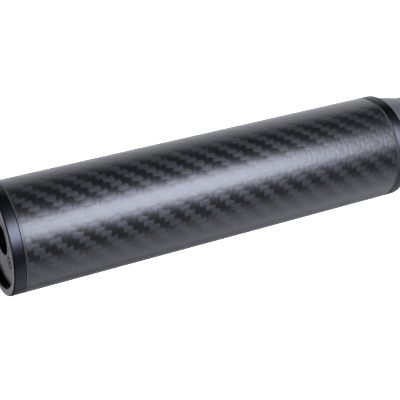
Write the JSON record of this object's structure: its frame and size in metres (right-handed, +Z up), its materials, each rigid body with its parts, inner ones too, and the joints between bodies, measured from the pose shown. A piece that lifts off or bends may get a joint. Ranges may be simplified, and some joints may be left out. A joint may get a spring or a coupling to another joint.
{
  "type": "canister",
  "caption": "Slim sealed canister: twill carbon-fibre tube between black anodised collars, recessed screw lid with O-ring and blind key well, tapered weighted base.",
  "frame": {"origin": "centre of the underside of the foot pad, where the canister stands", "axes": "+Z up along the tube's axis, towards the lid; -Y towards the viewer"},
  "size_m": [0.041, 0.041, 0.19],
  "materials": {
    "carbon_fibre": "clear-coated 2x2 twill",
    "black_anodised": "satin black anodised",
    "grey_anodised": "turned, dark anodised",
    "aluminium": "turned, clear anodised",
    "stainless": "bright",
    "black_steel": "black oxide",
    "rubber": "matt moulded",
    "nitrile": "greased satin",
    "foam": "closed-cell foam",
    "black_nylon": "satin",
    "glass_fibre": "satin laminate, dark resin",
    "ptfe": "waxy white"
  },
  "bodies": {
    "canister": {"carbon_sleeve": "carbon_fibre", "liner_tube": "aluminium", "top_isolation_ring": "black_nylon", "base_isolation_ring": "glass_fibre", "top_collar": "black_anodised", "collar_gasket": "nitrile", "base_collar": "black_anodised", "base_plug": "grey_anodised", "base_o_ring": "nitrile", "floor_pad": "foam", "neck_sleeve": "rubber", "foot_pad": "rubber", "foot_screw_1": "stainless", "foot_screw_2": "stainless", "foot_screw_3": "stainless", "foot_washer_1": "stainless", "foot_washer_2": "stainless", "foot_washer_3": "stainless"},
    "lid_carrier": {"thrust_washer": "ptfe"},
    "lid_ring": {"lid_o_ring": "nitrile"},
    "lid": {"lid_face": "black_anodised", "lid_plug": "aluminium", "lid_inner_plate": "aluminium", "lid_pad": "foam", "pad_screw": "stainless", "key_socket": "stainless", "socket_seal": "nitrile", "socket_circlip": "black_steel", "lid_screw_1": "black_steel", "lid_screw_2": "black_steel", "lid_screw_3": "black_steel", "lid_screw_4": "black_steel"}
  },
  "joints": [
    {"name": "lid_lift_off", "type": "slide", "parent": "canister", "child": "lid_carrier", "axis": [0, 0, 1], "range_m": [0, 0.06]},
    {"name": "lid_screw_travel", "type": "slide", "parent": "lid_carrier", "child": "lid_ring", "axis": [0, 0, 1], "range_m": [0, 0.01]},
    {"name": "lid_turn", "type": "hinge", "parent": "lid_ring", "child": "lid", "pos_m": [0, 0, 0.1876], "axis": [0, 0, 1], "range_deg": [0, 1800]}
  ],
  "couplings": [
    {"joint": "lid_screw_travel", "follows": "lid_turn", "m_per_rad": 0.00031831}
  ]
}
